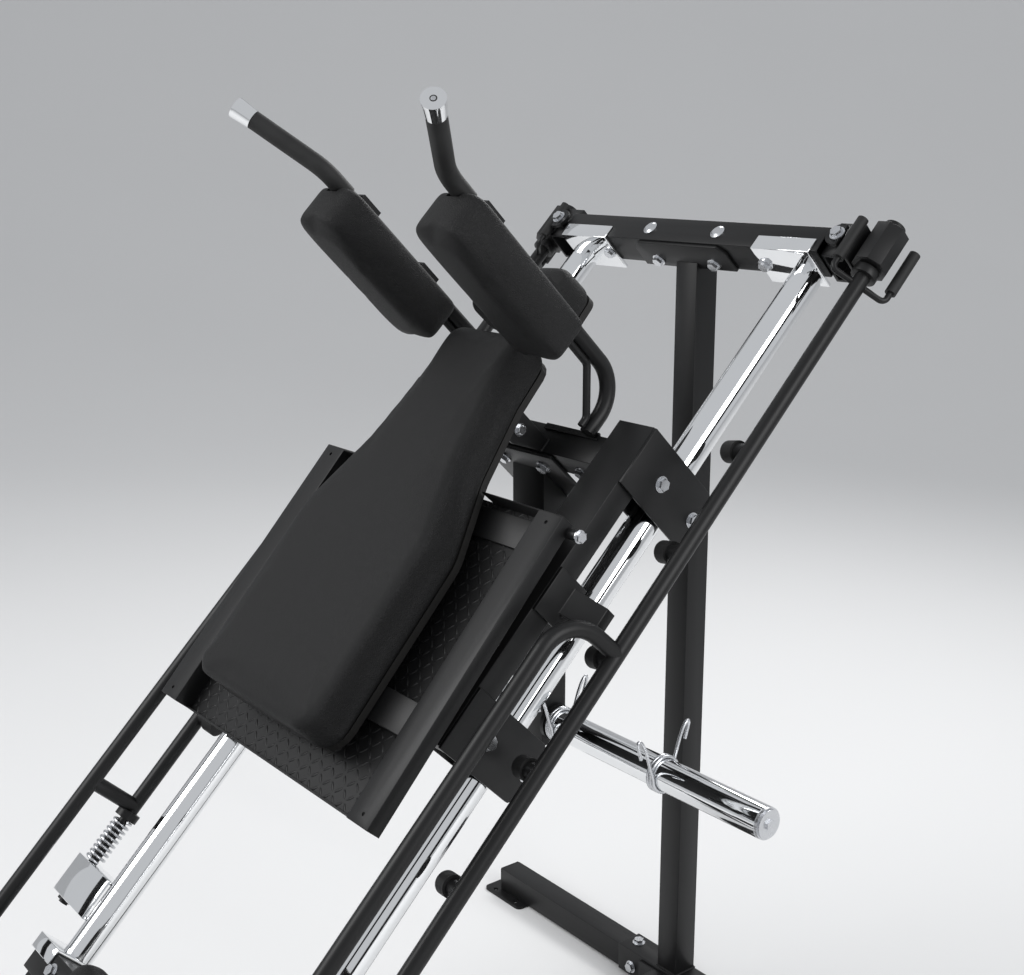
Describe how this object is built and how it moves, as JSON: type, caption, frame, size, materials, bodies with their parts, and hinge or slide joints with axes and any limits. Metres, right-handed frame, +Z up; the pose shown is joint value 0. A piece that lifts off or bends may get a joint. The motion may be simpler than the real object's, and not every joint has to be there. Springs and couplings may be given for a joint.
{
  "type": "leg press hack squat machine",
  "caption": "Leg press and hack squat machine: sloping guide rails, padded carriage with foot tray and weight sleeves, swinging safety bars with catch pegs, low seat and backrest.",
  "frame": {"origin": "centre of the bounding box's footprint, on the floor", "axes": "X across the machine, Y towards the high rear end of the guide rails, Z up"},
  "size_m": [1.11, 2.1222, 1.6871],
  "materials": {
    "frame_paint": "satin black powder coat",
    "zinc_hardware": "zinc plated, slightly dull",
    "chrome_steel": "polished chrome",
    "black_rubber": "matte black rubber",
    "black_plastic": "matte black moulded plastic",
    "pad_leather": "black grained leatherette over foam",
    "pad_board": "plywood board painted black"
  },
  "bodies": {
    "frame": {"floor_beams": "frame_paint", "foot_plates": "frame_paint", "centre_beams": "frame_paint", "floor_plugs": "black_rubber", "rear_post": "frame_paint", "joint_plates": "frame_paint", "upper_crossbeam": "frame_paint", "rail_end_brackets": "chrome_steel", "guide_rails": "chrome_steel", "lower_crossbeam": "frame_paint", "front_uprights": "frame_paint", "platform_frame": "frame_paint", "standing_plates": "frame_paint", "seat_board": "pad_board", "seat_pad": "pad_leather", "frame_bolts": "zinc_hardware", "bar_bearings": "frame_paint", "bar_end_brackets": "chrome_steel", "bar_springs": "zinc_hardware"},
    "carriage": {"side_tubes": "frame_paint", "roller_brackets": "frame_paint", "carriage_beam": "frame_paint", "drop_tube": "frame_paint", "sleeve_roots": "frame_paint", "weight_sleeves": "chrome_steel", "sleeve_caps": "zinc_hardware", "tray_frame": "frame_paint", "tread_plate": "frame_paint", "tray_supports": "frame_paint", "catch_lugs": "frame_paint", "pad_brackets": "frame_paint", "pad_boards": "pad_board", "back_pad": "pad_leather", "head_pad": "pad_leather", "shoulder_pads": "pad_leather", "shoulder_tubes": "frame_paint", "shoulder_grips": "black_rubber", "shoulder_caps": "chrome_steel", "carriage_bolts": "zinc_hardware"},
    "roller_high_left_top": {"roller_high_left_top": "black_plastic"},
    "roller_high_left_under": {"roller_high_left_under": "black_plastic"},
    "roller_high_right_top": {"roller_high_right_top": "black_plastic"},
    "roller_high_right_under": {"roller_high_right_under": "black_plastic"},
    "roller_low_left_top": {"roller_low_left_top": "black_plastic"},
    "roller_low_left_under": {"roller_low_left_under": "black_plastic"},
    "roller_low_right_top": {"roller_low_right_top": "black_plastic"},
    "roller_low_right_under": {"roller_low_right_under": "black_plastic"},
    "safety_bar_left": {"safety_bar_left": "frame_paint", "bar_rubbers_left": "black_rubber"},
    "safety_bar_right": {"safety_bar_right": "frame_paint", "bar_rubbers_right": "black_rubber"},
    "backrest": {"backrest_frame": "frame_paint", "backrest_pad": "pad_leather"},
    "recline_knob": {"recline_knob": "black_plastic"},
    "collar_left_inner": {"collar_left_inner": "zinc_hardware"},
    "collar_left_outer": {"collar_left_outer": "zinc_hardware"},
    "collar_right_inner": {"collar_right_inner": "zinc_hardware"},
    "collar_right_outer": {"collar_right_outer": "zinc_hardware"}
  },
  "joints": [
    {"name": "carriage_slide", "type": "slide", "parent": "frame", "child": "carriage", "axis": [0, 0.7071, 0.7071], "range_m": [-0.368, 0.368]},
    {"name": "roller_high_left_top_turn", "type": "hinge", "parent": "carriage", "child": "roller_high_left_top", "pos_m": [-0.265, 0.63474, 1.13844], "axis": [1, 0, 0], "range_deg": [-1010, 1010]},
    {"name": "roller_high_left_under_turn", "type": "hinge", "parent": "carriage", "child": "roller_high_left_under", "pos_m": [-0.265, 0.69979, 1.07339], "axis": [1, 0, 0], "range_deg": [-1010, 1010]},
    {"name": "roller_high_right_top_turn", "type": "hinge", "parent": "carriage", "child": "roller_high_right_top", "pos_m": [0.265, 0.63474, 1.13844], "axis": [1, 0, 0], "range_deg": [-1010, 1010]},
    {"name": "roller_high_right_under_turn", "type": "hinge", "parent": "carriage", "child": "roller_high_right_under", "pos_m": [0.265, 0.69979, 1.07339], "axis": [1, 0, 0], "range_deg": [-1010, 1010]},
    {"name": "roller_low_left_top_turn", "type": "hinge", "parent": "carriage", "child": "roller_low_left_top", "pos_m": [-0.265, 0.31796, 0.82166], "axis": [1, 0, 0], "range_deg": [-1010, 1010]},
    {"name": "roller_low_left_under_turn", "type": "hinge", "parent": "carriage", "child": "roller_low_left_under", "pos_m": [-0.265, 0.38301, 0.7566], "axis": [1, 0, 0], "range_deg": [-1010, 1010]},
    {"name": "roller_low_right_top_turn", "type": "hinge", "parent": "carriage", "child": "roller_low_right_top", "pos_m": [0.265, 0.31796, 0.82166], "axis": [1, 0, 0], "range_deg": [-1010, 1010]},
    {"name": "roller_low_right_under_turn", "type": "hinge", "parent": "carriage", "child": "roller_low_right_under", "pos_m": [0.265, 0.38301, 0.7566], "axis": [1, 0, 0], "range_deg": [-1010, 1010]},
    {"name": "safety_bar_right_turn", "type": "hinge", "parent": "frame", "child": "safety_bar_right", "pos_m": [0.378, 0.53928, 0.99207], "axis": [0, 0.7071, 0.7071], "range_deg": [0, 40]},
    {"name": "safety_bar_left_turn", "type": "hinge", "parent": "frame", "child": "safety_bar_left", "pos_m": [-0.378, 0.53928, 0.99207], "axis": [0, -0.7071, -0.7071], "range_deg": [0, 40]},
    {"name": "backrest_recline", "type": "hinge", "parent": "frame", "child": "backrest", "pos_m": [0, -0.39056, 0.15415], "axis": [1, 0, 0], "range_deg": [0, 40]},
    {"name": "recline_knob_turn", "type": "hinge", "parent": "backrest", "child": "recline_knob", "pos_m": [0.049, -0.48022, 0.1463], "axis": [1, 0, 0], "continuous": true},
    {"name": "collar_left_inner_slide", "type": "slide", "parent": "carriage", "child": "collar_left_inner", "axis": [-1, 0, 0], "range_m": [0, 0.2]},
    {"name": "collar_left_outer_slide", "type": "slide", "parent": "carriage", "child": "collar_left_outer", "axis": [-1, 0, 0], "range_m": [-0.205, 0.19]},
    {"name": "collar_right_inner_slide", "type": "slide", "parent": "carriage", "child": "collar_right_inner", "axis": [1, 0, 0], "range_m": [0, 0.2]},
    {"name": "collar_right_outer_slide", "type": "slide", "parent": "carriage", "child": "collar_right_outer", "axis": [1, 0, 0], "range_m": [-0.205, 0.19]}
  ],
  "couplings": [
    {"joint": "roller_high_left_top_turn", "follows": "carriage_slide", "rad_per_m": -47.619},
    {"joint": "roller_high_left_under_turn", "follows": "carriage_slide", "rad_per_m": 47.619},
    {"joint": "roller_high_right_top_turn", "follows": "carriage_slide", "rad_per_m": -47.619},
    {"joint": "roller_high_right_under_turn", "follows": "carriage_slide", "rad_per_m": 47.619},
    {"joint": "roller_low_left_top_turn", "follows": "carriage_slide", "rad_per_m": -47.619},
    {"joint": "roller_low_left_under_turn", "follows": "carriage_slide", "rad_per_m": 47.619},
    {"joint": "roller_low_right_top_turn", "follows": "carriage_slide", "rad_per_m": -47.619},
    {"joint": "roller_low_right_under_turn", "follows": "carriage_slide", "rad_per_m": 47.619}
  ]
}
